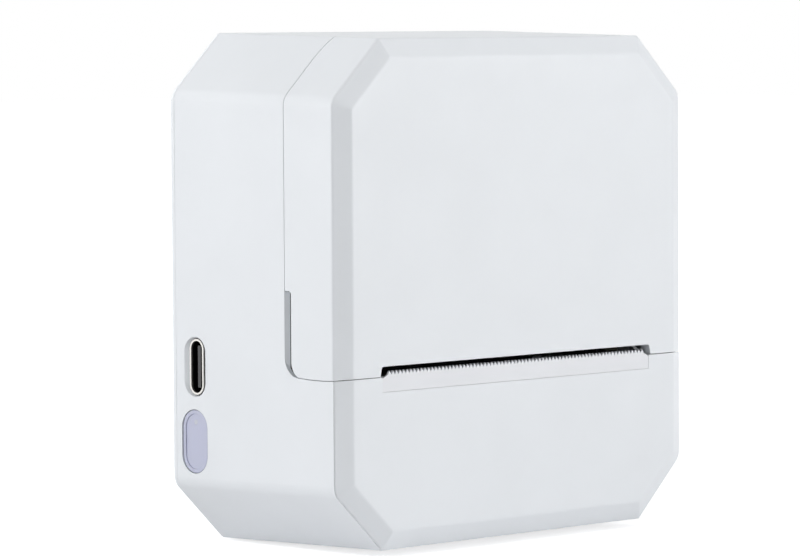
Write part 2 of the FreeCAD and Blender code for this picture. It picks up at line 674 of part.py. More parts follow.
def make_guide_rack(side):
    """Toothed rack below the shelf, fixed under a guide's foot."""
    foot = foot_depths()[SIDES.index(side)]
    pitch_line = GUIDE_GEAR_DEPTH + side * MODULE * GUIDE_TEETH / 2
    step = math.pi * MODULE
    slope = math.tan(PRESSURE)
    wide = step / 4 - BACKLASH / 2
    root = pitch_line + side * DEDENDUM
    tip = pitch_line - side * ADDENDUM
    outer = foot[0] if side < 0 else foot[1]
    points = [(side * GUIDE_X[1], outer), (-side * RACK_PAST, outer), (-side * RACK_PAST, root)]
    for i in RACK_TEETH:
        centre = side * (i + 0.5) * step
        for edge, depth in ((-1, root), (-1, tip), (1, tip), (1, root)):
            reach = wide + slope * (DEDENDUM if depth == root else -ADDENDUM)
            points.append((centre + side * edge * reach, depth))
    points.append((side * GUIDE_X[1], root))
    return plan_prism(points, RACK_HEIGHTS)


def make_guide_pinion():
    """Upright pinion between the two racks."""
    points = [(x, GUIDE_GEAR_DEPTH + d) for x, d in gear_points(GUIDE_TEETH, math.pi / 2)]
    blank = plan_prism(points, RACK_HEIGHTS)
    return blank.cut(rod_z(0, GUIDE_GEAR_DEPTH, STUD_RADIUS + RUNNING, (30.0, SHELF_LOW + 2)))


def make_print_frame():
    """Deck behind the tear bar with two uprights and a wall for the head spring."""
    left, right = -UPRIGHT_X[0], MOTOR_X[0] - 2.2
    deck = box((-DECK_X, DECK_X), (0.75, 10.4), DECK_HEIGHTS)
    neck = box((-UPRIGHT_X[1], UPRIGHT_X[1]), (10.0, 12.0), DECK_HEIGHTS)
    rear_deck = box((left, right), (11.5, SPRING_WALL[1]), DECK_HEIGHTS)
    wall = box((left - 0.5, right), SPRING_WALL, (DECK_HEIGHTS[0], 33.5))
    upright = [(11.0, DECK_HEIGHTS[0]), (14.5, 17.0), (30.0, 17.0), (30.0, SHELF_LOW), (11.0, SHELF_LOW)]
    pieces = [neck, rear_deck, wall]
    bores = []
    for side in SIDES:
        xs = [side * x for x in UPRIGHT_X]
        through = (side * 30, side * 34)
        pieces.append(side_prism(upright, xs, [1, 2, 2, 1, 1]))
        bores.append(rod_x(ROD_DEPTH, ROD_HEIGHT, ROD_RADIUS, through))
        bores.append(rod_z(side * INNER_SCREW_X, FRAME_SCREW_DEPTH, INNER_SCREW_RADIUS, (25.0, 27.0)))
    bores.append(rod_x(motor_depth, motor_height, MOTOR_BOSS + 0.1, (30, 34)))
    bores.append(rod_x(idler_depth, idler_height, STUD_RADIUS, (30, 34)))
    return fused(deck, *pieces).cut(bores)


def make_head_bracket():
    """Heat sink plate that carries the print head, with a tube along its lower edge and rear fins."""
    wide = (-BRACKET_HALF, BRACKET_HALF)
    plate = box(wide, (HEAD_FACE + 0.8, BRACKET_BACK), (ROD_HEIGHT - 1.3, 37.2))
    tube = rod_x(ROD_DEPTH, ROD_HEIGHT, ROD_RADIUS + 0.9, wide)
    fin_depths = (BRACKET_BACK - 0.6, BRACKET_BACK + 0.6)
    fins = [box(wide, fin_depths, (h, h + 0.8)) for h in (31.6, 33.2, 34.8, 36.4)]
    bore = rod_x(ROD_DEPTH, ROD_HEIGHT, ROD_RADIUS + RUNNING, (-31, 31))
    return fused(plate, tube, *fins).cut(bore)


def make_print_head():
    """Ceramic strip with a raised heating line opposite the platen."""
    strip = box((-HEAD_HALF, HEAD_HALF), (HEAD_FACE + 0.1, HEAD_FACE + 0.8), (30.2, 37.0))
    line = (PLATEN_HEIGHT - 0.6, PLATEN_HEIGHT + 0.6)
    bead = box((1 - HEAD_HALF, HEAD_HALF - 1), (HEAD_FACE, HEAD_FACE + 0.2), line)
    return fused(strip, bead)


def make_head_spring():
    """Spring steel strip on the frame wall with two arms that press the bracket forward."""
    fixed = SPRING_WALL[0]
    inner = fixed - SPRING_THICK
    tip = BRACKET_BACK + 0.65
    strip = box((-20.0, 12.0), (inner, fixed), (27.5, 31.0))
    arm = [(fixed, 30.5), (fixed, 31.5), (tip + 0.35, 36.0), (tip, 36.0), (tip, 35.7), (inner, 31.2),
           (inner, 30.5)]
    arms = [side_prism(arm, xs) for xs in ((-20.0, -13.0), (5.0, 12.0))]
    return fused(strip, *arms)


def make_head_ribbon_cable():
    """Flat cable from the bracket's back over the frame wall to the board."""
    path = [(BRACKET_BACK + 0.65, 34.2), (17.0, 34.2), (19.0, 34.8), (27.0, 34.8), (29.0, 33.2), (31.2, 33.2)]
    under = [(d, h - CABLE_THICK) for d, h in reversed(path)]
    return side_prism(path + under, CABLE_X)


def make_platen_cradle():
    """Bar in the lid with a cheek at each end for the platen's bushings."""
    front, back = CRADLE_DEPTHS
    top = CRADLE_HEIGHTS[1]
    bar = box((-CRADLE_X[1], CRADLE_X[1]), CRADLE_DEPTHS, CRADLE_HEIGHTS)
    cheek = [(front, top), (front, 30.0), (3.0, 29.6), (9.4, 29.6), (9.4, 38.0), (4.5, top)]
    pieces = []
    holes = []
    for side in SIDES:
        pieces.append(side_prism(cheek, [side * x for x in CRADLE_X], [0, 0.4, 0.4, 1.5, 1.5, 1]))
        holes.append(rod_x(PLATEN_DEPTH, PLATEN_HEIGHT, BUSHING_RADIUS, (side * 30.0, side * 34.0)))
        holes.append(rod_y(side * CRADLE_SCREW_X, CRADLE_SCREW_HEIGHT, CRADLE_SCREW_RADIUS, (1.0, 5.0)))
    ribs = [box((x - 0.5, x + 0.5), (back - 0.2, back + 1.4), CRADLE_HEIGHTS) for x in range(-20, 21, 10)]
    return fused(bar, *pieces, *ribs).cut(holes)


def make_platen_bushings():
    """Flanged bushing in each cheek of the cradle."""
    inner, outer = CRADLE_X
    bushings = []
    for side in SIDES:
        sleeve = rod_x(PLATEN_DEPTH, PLATEN_HEIGHT, BUSHING_RADIUS, (side * (inner - 0.1), side * outer))
        flange = rod_x(PLATEN_DEPTH, PLATEN_HEIGHT, FLANGE_RADIUS, (side * (inner - 0.7), side * inner))
        bore = rod_x(PLATEN_DEPTH, PLATEN_HEIGHT, SHAFT_RADIUS + RUNNING, (side * 29, side * 34))
        bushings.append(fused(sleeve, flange).cut(bore))
    return Part.makeCompound(bushings)


def make_platen_rubber():
    """Rubber sleeve on the platen shaft."""
    sleeve = rod_x(PLATEN_DEPTH, PLATEN_HEIGHT, PLATEN_RADIUS, (-PLATEN_HALF, PLATEN_HALF))
    return sleeve.cut(rod_x(PLATEN_DEPTH, PLATEN_HEIGHT, SHAFT_RADIUS, (-40, 40)))


def make_stepper_motor():
    """Motor can with a flange and a front boss bored for the shaft."""
    seat = UPRIGHT_X[0]
    can = rod_x(motor_depth, motor_height, MOTOR_RADIUS, MOTOR_X)
    flange = rod_x(motor_depth, motor_height, MOTOR_RADIUS - 0.6, (MOTOR_X[1] - 0.2, seat))
    boss = rod_x(motor_depth, motor_height, MOTOR_BOSS, (seat - 0.1, UPRIGHT_X[1] + 0.6))
    bore = rod_x(motor_depth, motor_height, MOTOR_SHAFT_RADIUS + RUNNING, (24.0, 33.0))
    return fused(can, flange, boss).cut(bore)


def make_usb_shell():
    """Drawn steel sleeve of the socket."""
    tail = socket_mouth + SHELL_LENGTH
    sleeve = pill(SOCKET_DEPTH, SOCKET_HEIGHT, SHELL_SIZE, (socket_mouth, tail))
    return sleeve.cut(pill(SOCKET_DEPTH, SOCKET_HEIGHT, MOUTH_SIZE, (socket_mouth - 1, tail - 1.2)))


def make_usb_tongue():
    """Contact tongue and its base inside the socket."""
    base_size = [size - 0.15 for size in MOUTH_SIZE]
    base = pill(SOCKET_DEPTH, SOCKET_HEIGHT, base_size, (socket_mouth + 5.2, socket_mouth + 6.1))
    tongue = box((socket_mouth + 0.6, socket_mouth + 5.5), (SOCKET_DEPTH - 0.35, SOCKET_DEPTH + 0.35),
                 (SOCKET_HEIGHT - 3.35, SOCKET_HEIGHT + 3.35))
    return fused(base, tongue)


def make_power_button():
    """Key cap with a raised rim, a flange behind the wall, a stem to the switch and a bore for the light."""
    cap = pill(BUTTON_DEPTH, BUTTON_HEIGHT, BUTTON_SIZE, (button_face, BUTTON_BACK))
    dish_size = [size - 2 * BUTTON_RIM for size in BUTTON_SIZE]
    dish = pill(BUTTON_DEPTH, BUTTON_HEIGHT, dish_size, (button_face - 1, button_face + BUTTON_DISH))
    flange_size = (BUTTON_SIZE[0] + 1.4, BUTTON_SIZE[1] + 0.4)
    flange = pill(BUTTON_DEPTH, BUTTON_HEIGHT, flange_size, (BUTTON_BACK - 0.1, BUTTON_BACK + 0.4))
    stem = rod_x(BUTTON_DEPTH, BUTTON_HEIGHT, 1.2, (BUTTON_BACK + 0.2, BUTTON_BACK + 0.65))
    light = rod_x(BUTTON_DEPTH, light_height, LIGHT_RADIUS, (button_face - 1, light_face + LIGHT_LENGTH))
    keep = box((-50, 0), (20.0, BOARD_FRONT - 0.3), (0.0, 40.0))
    return fused(cap, flange.common(keep), stem).cut([dish, light])


def make_key_switch():
    """Side key on the board with its plunger towards the button."""
    body = box((-36.0, -32.6), (BUTTON_DEPTH - 1.7, BOARD_FRONT), (BUTTON_HEIGHT - 2.6, BUTTON_HEIGHT + 2.6))
    plunger = rod_x(BUTTON_DEPTH - 0.1, BUTTON_HEIGHT, 0.9, (-36.25, -35.5))
    return fused(body, plunger)


def make_board():
    """Circuit board behind the socket."""
    plate = box(BOARD_X, (BOARD_FRONT, BOARD_BACK), BOARD_HEIGHTS)
    through = (BOARD_FRONT - 3, BOARD_BACK + 2)
    return plate.cut([rod_y(x, height, BOARD_SCREW_RADIUS, through) for x, height in BOARD_SCREWS])


def make_board_chips():
    """Chips and connectors on the front of the board."""
    layout = (((-8.0, 1.0), 1.0, (18.0, 27.0)),
              ((5.0, 10.0), 1.2, (19.0, 24.0)),
              ((14.0, 20.0), 0.9, (14.0, 17.0)),
              ((-24.0, -18.0), 1.4, (20.0, 26.0)),
              ((-13.0, 5.0), 1.7, (31.6, 33.8)),
              ((-28.0, -25.0), 0.8, (15.0, 17.0)))
    return Part.makeCompound([box(xs, (BOARD_FRONT - tall, BOARD_FRONT), hs) for xs, tall, hs in layout])


def make_battery():
    """Pouch cell on the floor of the case."""
    front, back = CELL_DEPTHS
    low, top = CELL_HEIGHTS
    outline = [(front, low), (back, low), (back, top), (front, top)]
    return side_prism(outline, (-CELL_HALF, CELL_HALF), [CELL_ROUND] * 4)


def make_feet():
    """Round rubber pads below the floor, cut to its slope."""
    outer = shell_form([(d, -DRAFT * d) for d in (0.0, SIDE_DEPTH)])
    feet = []
    for depth in FOOT_DEPTHS:
        for side in SIDES:
            feet.append(rod_z(side * FOOT_X, depth, FOOT_RADIUS, (-BASE_Z, 2.0)).cut(outer))
    return Part.makeCompound(feet)


def screw(along, head_radius, head, shank_radius, shank, place):
    """Screw with a slotted head; along is the way its shank points from the head's seat."""
    top = place - along * head
    body = Part.makeCylinder(head_radius, head, top, along)
    body = body.fuse(Part.makeCylinder(shank_radius, shank, place, along)).removeSplitter()
    slot_depth = 0.35 * head
    bar = Part.makeBox(head_radius * 1.5, 0.4, slot_depth, Vector(-head_radius * 0.75, -0.2, 0))
    cross = bar.fuse(Part.makeBox(0.4, head_radius * 1.5, slot_depth, Vector(-0.2, -head_radius * 0.75, 0)))
    cross.Placement = FreeCAD.Placement(top, FreeCAD.Rotation(Vector(0, 0, 1), along))
    return body.cut(cross)


def make_case_screws():
    """Four screws through the rear cover."""
    seat = SIDE_DEPTH + REAR_DEPTH - CASE_SCREW_SINK
    forward = Vector(0, -1, 0)
    places = [at(side * CASE_SCREW_X, seat, height) for side in SIDES for height in CASE_SCREW_HEIGHTS]
    return Part.makeCompound([screw(forward, *CASE_SCREW_SIZE, place) for place in places])


def make_frame_screws():
    """Two screws that hold the print frame and two that hold the roll bin."""
    down = Vector(0, 0, -1)
    seats = ((FRAME_SCREW_DEPTH, DECK_HEIGHTS[1]), (BIN_SCREW_DEPTH, SHELF_TOP))
    places = [at(side * INNER_SCREW_X, depth, seat) for side in SIDES for depth, seat in seats]
    return Part.makeCompound([screw(down, *INNER_SCREW_SIZE, place) for place in places])


def make_cradle_screws():
    """Two screws through the platen cradle into the lid's posts."""
    forward = Vector(0, -1, 0)
    places = [at(side * CRADLE_SCREW_X, CRADLE_DEPTHS[1], CRADLE_SCREW_HEIGHT) for side in SIDES]
    return Part.makeCompound([screw(forward, *CRADLE_SCREW_SIZE, place) for place in places])


def make_board_screws():
    """Four screws through the board into the rear cover's posts."""
    back = Vector(0, 1, 0)
    return Part.makeCompound([screw(back, *BOARD_SCREW_SIZE, at(x, BOARD_FRONT, height))
                              for x, height in BOARD_SCREWS])


def make_hinge_pins():
    """Steel pin through each ear and knuckle."""
    reach = (EAR_X[0], KNUCKLE_X[1])
    return Part.makeCompound([rod_x(HINGE_DEPTH, HINGE_HEIGHT, PIN_RADIUS, [side * x for x in reach])
                              for side in SIDES])


shaft_end = GEAR_X[1] + SHAFT_PROUD
socket_mouth = SOCKET_SINK - wall_x(SOCKET_DEPTH)
button_face = BUTTON_FACE_SINK - wall_x(BUTTON_DEPTH - BUTTON_SIZE[0] / 2)
light_face = button_face + BUTTON_DISH
light_height = BUTTON_HEIGHT + LIGHT_RISE
nodes = {
    "main_housing": make_main_housing(),
    "rear_cover": make_rear_cover(),
    "lower_front_panel": make_lower_front_panel(),
    "tear_bar": make_tear_bar(),
    "lid": make_lid(),
    "hinge_pins": make_hinge_pins(),
    "roll_bin": make_roll_bin(),
    "left_roll_guide": make_roll_guide(-1),
    "right_roll_guide": make_roll_guide(1),
    "left_guide_rack": make_guide_rack(-1),
    "right_guide_rack": make_guide_rack(1),
    "guide_pinion": make_guide_pinion(),
    "print_frame": make_print_frame(),
    "head_pivot_rod": rod_x(ROD_DEPTH, ROD_HEIGHT, ROD_RADIUS, (-UPRIGHT_X[1], UPRIGHT_X[1])),
    "head_bracket": make_head_bracket(),
    "print_head": make_print_head(),
    "head_spring": make_head_spring(),
    "head_ribbon_cable": make_head_ribbon_cable(),
    "platen_cradle": make_platen_cradle(),
    "platen_bushings": make_platen_bushings(),
    "platen_shaft": rod_x(PLATEN_DEPTH, PLATEN_HEIGHT, SHAFT_RADIUS, (SHAFT_LEFT, shaft_end)),
    "platen_rubber": make_platen_rubber(),
    "platen_gear": gear_x(PLATEN_TEETH, IDLER_ANGLE, PLATEN_DEPTH, PLATEN_HEIGHT, GEAR_X, SHAFT_RADIUS),
    "idler_gear": gear_x(IDLER_TEETH, idler_phase, idler_depth, idler_height, GEAR_X, STUD_RADIUS + RUNNING),
    "idler_stud": rod_x(idler_depth, idler_height, STUD_RADIUS, (UPRIGHT_X[0], shaft_end)),
    "motor_pinion": gear_x(PINION_TEETH, pinion_phase, motor_depth, motor_height, GEAR_X, MOTOR_SHAFT_RADIUS),
    "motor_shaft": rod_x(motor_depth, motor_height, MOTOR_SHAFT_RADIUS, (25.0, shaft_end)),
    "stepper_motor": make_stepper_motor(),
    "usb_shell": make_usb_shell(),
    "usb_tongue": make_usb_tongue(),
    "power_button": make_power_button(),
    "status_light": rod_x(BUTTON_DEPTH, light_height, LIGHT_RADIUS, (light_face, light_face + LIGHT_LENGTH)),
    "key_switch": make_key_switch(),
    "main_board": make_board(),
    "board_chips": make_board_chips(),
    "battery_pack": make_battery(),
    "lid_switch": box(*LID_SWITCH),
    "gap_sensor": box((-SENSOR_HALF, SENSOR_HALF), SENSOR_DEPTHS, (SHELF_TOP, SHELF_TOP + SENSOR_RISE)),
    "rubber_feet": make_feet(),
    "case_screws": make_case_screws(),
    "frame_screws": make_frame_screws(),
    "cradle_screws": make_cradle_screws(),
    "board_screws": make_board_screws(),
}

os.makedirs("parts", exist_ok=True)
for name, shape in nodes.items():
    shape.exportStep(os.path.join("parts", name + ".step"))
    state = "valid" if shape.isValid() else "INVALID"
    print(name, len(shape.Solids), "solids", round(shape.Volume, 1), "mm3", state)
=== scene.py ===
import math

import bmesh
import bpy
from mathutils import Matrix, Vector


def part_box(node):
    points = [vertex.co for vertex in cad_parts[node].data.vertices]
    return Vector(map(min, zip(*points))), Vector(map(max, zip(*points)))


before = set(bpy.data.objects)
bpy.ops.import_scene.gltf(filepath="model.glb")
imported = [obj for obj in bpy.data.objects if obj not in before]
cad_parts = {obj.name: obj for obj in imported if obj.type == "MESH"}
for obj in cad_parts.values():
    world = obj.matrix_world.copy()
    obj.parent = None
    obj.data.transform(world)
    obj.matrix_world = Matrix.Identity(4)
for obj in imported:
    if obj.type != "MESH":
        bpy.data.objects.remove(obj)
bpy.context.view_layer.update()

MM = 0.001

# Camera: fitted to the case's corners in the photograph, in metres and degrees
IMAGE_WIDTH = 800
FOCAL_PX = 4209.7
SENSOR_MM = 36.0
CAMERA_PLACE = Vector((-0.48001, -0.49180, 0.08391))
CAMERA_YAW = 43.839
CAMERA_PITCH = 3.497
CAMERA_ROLL = -0.336
CLIP_NEAR = 0.01
CLIP_FAR = 20.0

# Light: soft boxes by azimuth from the front towards the right, elevation, size in metres and level
SOFT_BOXES = (
    ("key_right_front", 32, 4, 0.70, 0.84),
    ("side_left_back", 244, 4, 0.70, 0.60),
    ("fill_left_front", 296, 14, 0.50, 0.05),
    ("high_left", 268, 42, 0.50, 0.215),
    ("back_fill", 192, 24, 0.60, 0.26),
    ("overhead", 0, 88, 0.60, 0.22),
    ("high_right", 45, 48, 0.50, 0.125),
)
LIGHT_DISTANCE = 1.1
LIGHT_TARGET = Vector((0.0, 0.0, 0.041))
WORLD_SEEN = 1.0
WORLD_FILL = 0.05

# Floor, in metres
FLOOR_HALF = 3.0
FLOOR_CELLS = 8
FLOOR_GLOW = (0.68, 1.05)
FLOOR_REACH = (0.06, 0.30)
FLOOR_TONE = (0.80, 0.80, 0.81, 1.0)

# Grain of the finishes: sizes in millimetres, tones as factors and gloss as steps of roughness
NOISE_SPAN = (0.3, 0.7)
CLOUD_SIZE = 14.0
PATCH_SIZE = 3.0
PATCH_GLOSS = 0.04
SCRATCH_SIZE = 0.10
SCRATCH_STRETCH = 0.02
SCRATCH_TONES = (0.88, 1.08)
SCRATCH_GLOSS = (-0.06, 0.08)
PORE_TONES = (0.8, 1.25)
PORE_GLOSS = 0.08
RUBBER_SHEEN = 0.3
EDGE_SOFT = 0.06
SOFT_SAMPLES = 6

# Colours
WHITE = (0.80, 0.828, 0.858)
STRIP_WHITE = (0.785, 0.80, 0.83)
LILAC = (0.50, 0.52, 0.66)
LIGHT_PIPE = (0.58, 0.60, 0.68)
BLACK = (0.022, 0.022, 0.025)
DEEP_BLACK = (0.02, 0.02, 0.022)
GRAPHITE = (0.065, 0.07, 0.075)
GREY = (0.24, 0.26, 0.29)
IVORY = (0.66, 0.63, 0.53)
BRONZE = (0.36, 0.25, 0.13)
ROLLER_BLACK = (0.022, 0.022, 0.022)
FOOT_GREY = (0.07, 0.07, 0.075)
STEEL = (0.55, 0.56, 0.58)
NICKEL = (0.47, 0.46, 0.44)
ZINC = (0.42, 0.42, 0.43)
ALUMINIUM = (0.68, 0.69, 0.71)
AMBER = (0.62, 0.34, 0.06)
CELL_BLUE = (0.20, 0.25, 0.36)

# Socket sleeve: painted shade deeper in. It fades in between two depths in millimetres from its mouth,
# with the near-black colour painted there
SLEEVE_SHADE_FADE = (0.1, 0.5)
SLEEVE_PAINTED_SHADE = (0.02, 0.02, 0.02, 1.0)

# Key cap
KEY_EDGE_SOFT = 0.12
KEY_GLOW = 0.25
KEY_GLOW_TINT = (0.6, 0.6, 0.9)
KEY_GLOW_DEPTH = 0.6
KEY_COAT = 0.15

# Print head
GLAZE_TONES = ((0.50, 0.47, 0.40), (0.60, 0.57, 0.49))
GLAZE_CLOUD = 2.0
GLAZE_ROUGH = (0.12, 0.22)
GLAZE_GRAIN = 0.2
GLAZE_DEPTH = 0.001
LEAD_TONE = (0.30, 0.26, 0.20, 1.0)
LEAD_SHARE = 0.35
LEAD_PITCH = 0.6
WAVE_RATE = 20.0

# Circuit board
MASK_TONES = ((0.015, 0.12, 0.05), (0.04, 0.24, 0.10))
MASK_PATCH = 1.0
MASK_ROUGH = (0.25, 0.4)
TRACK_SIZE = 2.4
TRACK_DEPTH = 0.01


def make_camera():
    """Long lens from the front left, a little above the object's middle."""
    yaw = math.radians(CAMERA_YAW)
    pitch = math.radians(CAMERA_PITCH)
    roll = math.radians(CAMERA_ROLL)
    ahead = Vector((math.sin(yaw) * math.cos(pitch), math.cos(yaw) * math.cos(pitch), -math.sin(pitch)))
    level = Vector((math.cos(yaw), -math.sin(yaw), 0.0))
    upward = level.cross(ahead)
    right = math.cos(roll) * level + math.sin(roll) * upward
    up = math.cos(roll) * upward - math.sin(roll) * level
    data = bpy.data.cameras.new("camera")
    data.sensor_fit = "HORIZONTAL"
    data.sensor_width = SENSOR_MM
    data.lens = FOCAL_PX * SENSOR_MM / IMAGE_WIDTH
    data.clip_start = CLIP_NEAR
    data.clip_end = CLIP_FAR
    camera = bpy.data.objects.new("camera", data)
    turn = Matrix((right, up, -ahead)).transposed().to_4x4()
    camera.matrix_world = Matrix.Translation(CAMERA_PLACE) @ turn
    bpy.context.scene.collection.objects.link(camera)
    bpy.context.scene.camera = camera


def make_lights():
    """Soft boxes whose power gives each level on a face turned straight towards it."""
    for name, azimuth, elevation, size, level in SOFT_BOXES:
        turn = math.radians(azimuth)
        rise = math.radians(elevation)
        way = Vector((math.cos(rise) * math.sin(turn), -math.cos(rise) * math.cos(turn), math.sin(rise)))
        data = bpy.data.lights.new(name, "AREA")
        data.shape = "SQUARE"
        data.size = size
        data.energy = math.pi ** 2 * LIGHT_DISTANCE ** 2 * level
        lamp = bpy.data.objects.new(name, data)
        facing = way.to_track_quat("Z", "Y").to_matrix().to_4x4()
        lamp.matrix_world = Matrix.Translation(LIGHT_TARGET + way * LIGHT_DISTANCE) @ facing
        bpy.context.scene.collection.objects.link(lamp)


def seen_directly(tree):
    """Value that is 1 for rays that show the surroundings: from the camera, a gloss or through glass."""
    path = tree.nodes.new("ShaderNodeLightPath")
    first = tree.nodes.new("ShaderNodeMath")
    first.operation = "MAXIMUM"
    second = tree.nodes.new("ShaderNodeMath")
    second.operation = "MAXIMUM"
    tree.links.new(path.outputs["Is Camera Ray"], first.inputs[0])
    tree.links.new(path.outputs["Is Glossy Ray"], first.inputs[1])
    tree.links.new(first.outputs[0], second.inputs[0])
    tree.links.new(path.outputs["Is Transmission Ray"], second.inputs[1])
    return second.outputs[0]


def make_world():
    """White where it is seen, a faint fill elsewhere."""
    world = bpy.data.worlds.new("studio")
    world.use_nodes = True
    tree = world.node_tree
    shade = tree.nodes["Background"]
    shade.inputs["Color"].default_value = (1.0, 1.0, 1.0, 1.0)
    level = tree.nodes.new("ShaderNodeMapRange")
    level.inputs["To Min"].default_value = WORLD_FILL
    level.inputs["To Max"].default_value = WORLD_SEEN
    tree.links.new(seen_directly(tree), level.inputs["Value"])
    tree.links.new(level.outputs["Result"], shade.inputs["Strength"])
    bpy.context.scene.world = world


def floor_surface():
    """Pale matt floor with a glow that grows away from the object, where the floor is seen."""
    material = bpy.data.materials.new("pale_floor")
    material.use_nodes = True
    tree = material.node_tree
    tree.nodes.clear()
    matt = tree.nodes.new("ShaderNodeBsdfDiffuse")
    matt.inputs["Color"].default_value = FLOOR_TONE
    glow = tree.nodes.new("ShaderNodeEmission")
    far = tree.nodes.new("ShaderNodeVectorMath")
    far.operation = "LENGTH"
    tree.links.new(tree.nodes.new("ShaderNodeTexCoord").outputs["Object"], far.inputs[0])
    spread = tree.nodes.new("ShaderNodeMapRange")
    spread.interpolation_type = "SMOOTHSTEP"
    for end, reach, glow_level in zip(("Min", "Max"), FLOOR_REACH, FLOOR_GLOW):
        spread.inputs["From " + end].default_value = reach
        spread.inputs["To " + end].default_value = glow_level
    tree.links.new(far.outputs["Value"], spread.inputs["Value"])
    level = tree.nodes.new("ShaderNodeMath")
    level.operation = "MULTIPLY"
    tree.links.new(seen_directly(tree), level.inputs[0])
    tree.links.new(spread.outputs["Result"], level.inputs[1])
    tree.links.new(level.outputs[0], glow.inputs["Strength"])
    both = tree.nodes.new("ShaderNodeAddShader")
    tree.links.new(matt.outputs[0], both.inputs[0])
    tree.links.new(glow.outputs[0], both.inputs[1])
    out = tree.nodes.new("ShaderNodeOutputMaterial")
    tree.links.new(both.outputs[0], out.inputs["Surface"])
    return material


def make_floor():
    """Flat floor that keeps a soft shadow and reads as white elsewhere."""
    form = bmesh.new()
    bmesh.ops.create_grid(form, x_segments=FLOOR_CELLS, y_segments=FLOOR_CELLS, size=FLOOR_HALF)
    data = bpy.data.meshes.new("floor")
    form.to_mesh(data)
    form.free()
    floor = bpy.data.objects.new("floor", data)
    bpy.context.scene.collection.objects.link(floor)
    data.materials.append(floor_surface())


def new_surface(name):
    """Empty material with its tree, shader and object coordinates in metres."""
    material = bpy.data.materials.new(name)
    material.use_nodes = True
    tree = material.node_tree
    shader = tree.nodes["Principled BSDF"]
    place = tree.nodes.new("ShaderNodeTexCoord").outputs["Object"]
    return material, tree, shader, place


def noise(tree, place, size, detail=2.0, stretch=(1.0, 1.0, 1.0)):
    """Noise with features about size mm across, drawn out along an axis where stretch is under 1."""
    scaled = tree.nodes.new("ShaderNodeMapping")
    scaled.inputs["Scale"].default_value = [s / (size * MM) for s in stretch]
    tree.links.new(place, scaled.inputs["Vector"])
    texture = tree.nodes.new("ShaderNodeTexNoise")
    texture.inputs["Scale"].default_value = 1.0
    texture.inputs["Detail"].default_value = detail
    tree.links.new(scaled.outputs["Vector"], texture.inputs["Vector"])
    return texture.outputs["Fac"]


def ranged(tree, value, low, high):
    """The usual span of a noise carried to low and high."""
    node = tree.nodes.new("ShaderNodeMapRange")
    node.inputs["From Min"].default_value = NOISE_SPAN[0]
    node.inputs["From Max"].default_value = NOISE_SPAN[1]
    node.inputs["To Min"].default_value = low
    node.inputs["To Max"].default_value = high
    tree.links.new(value, node.inputs["Value"])
    return node.outputs["Result"]


def mixed(tree, value, first, second):
    """Colour between two plain colours by a noise."""
    node = tree.nodes.new("ShaderNodeMix")
    node.data_type = "RGBA"
    node.inputs["A"].default_value = (*first, 1.0)
    node.inputs["B"].default_value = (*second, 1.0)
    tree.links.new(ranged(tree, value, 0.0, 1.0), node.inputs["Factor"])
    return node.outputs["Result"]


def covered(tree, factor, base, cover):
    """Linked colour that a plain one covers by a linked factor."""
    node = tree.nodes.new("ShaderNodeMix")
    node.data_type = "RGBA"
    node.inputs["B"].default_value = cover
    tree.links.new(factor, node.inputs["Factor"])
    tree.links.new(base, node.inputs["A"])
    return node.outputs["Result"]


def relief(tree, shader, value, depth, soften=0.0):
    """Relief of a depth in mm, on edges that are softened by a small radius where one is given."""
    bump = tree.nodes.new("ShaderNodeBump")
    bump.inputs["Strength"].default_value = 1.0
    bump.inputs["Distance"].default_value = depth * MM
    tree.links.new(value, bump.inputs["Height"])
    if soften:
        soft = tree.nodes.new("ShaderNodeBevel")
        soft.samples = SOFT_SAMPLES
        soft.inputs["Radius"].default_value = soften * MM
        tree.links.new(soft.outputs["Normal"], bump.inputs["Normal"])
    tree.links.new(bump.outputs["Normal"], shader.inputs["Normal"])


def shaded(colour, factor):
    """Colour made lighter or darker by a factor."""
    return tuple(min(1.0, channel * factor) for channel in colour)


def moulded(name, colour, rough, grain, depth, spread=0.02, soften=0.0):
    """Moulded plastic: fine spark-eroded grain, slow changes of tone and gloss."""
    material, tree, shader, place = new_surface(name)
    cloud = noise(tree, place, CLOUD_SIZE, detail=3.0)
    tone = mixed(tree, cloud, shaded(colour, 1 - spread), shaded(colour, 1 + spread))
    tree.links.new(tone, shader.inputs["Base Color"])
    patch = noise(tree, place, PATCH_SIZE)
    gloss = ranged(tree, patch, rough - PATCH_GLOSS, rough + PATCH_GLOSS)
    tree.links.new(gloss, shader.inputs["Roughness"])
    relief(tree, shader, noise(tree, place, grain), depth, soften)
    return material


def brushed(name, colour, rough, along, depth=0.003):
    """Metal with fine scratches drawn out along one axis."""
    material, tree, shader, place = new_surface(name)
    shader.inputs["Metallic"].default_value = 1.0
    stretch = [SCRATCH_STRETCH if axis == along else 1.0 for axis in "XYZ"]
    lines = noise(tree, place, SCRATCH_SIZE, detail=3.0, stretch=stretch)
    tone = mixed(tree, lines, *(shaded(colour, factor) for factor in SCRATCH_TONES))
    tree.links.new(tone, shader.inputs["Base Color"])
    gloss = ranged(tree, lines, *(rough + step for step in SCRATCH_GLOSS))
    tree.links.new(gloss, shader.inputs["Roughness"])
    relief(tree, shader, lines, depth)
    return material


def rubbery(name, colour, rough, grain, depth):
    """Rubber with a ground or pebbled skin."""
    material, tree, shader, place = new_surface(name)
    pores = noise(tree, place, grain, detail=4.0)
    tone = mixed(tree, pores, *(shaded(colour, factor) for factor in PORE_TONES))
    tree.links.new(tone, shader.inputs["Base Color"])
    gloss = ranged(tree, pores, rough - PORE_GLOSS, rough + PORE_GLOSS)
    tree.links.new(gloss, shader.inputs["Roughness"])
    shader.inputs["Specular IOR Level"].default_value = RUBBER_SHEEN
    relief(tree, shader, pores, depth)
    return material


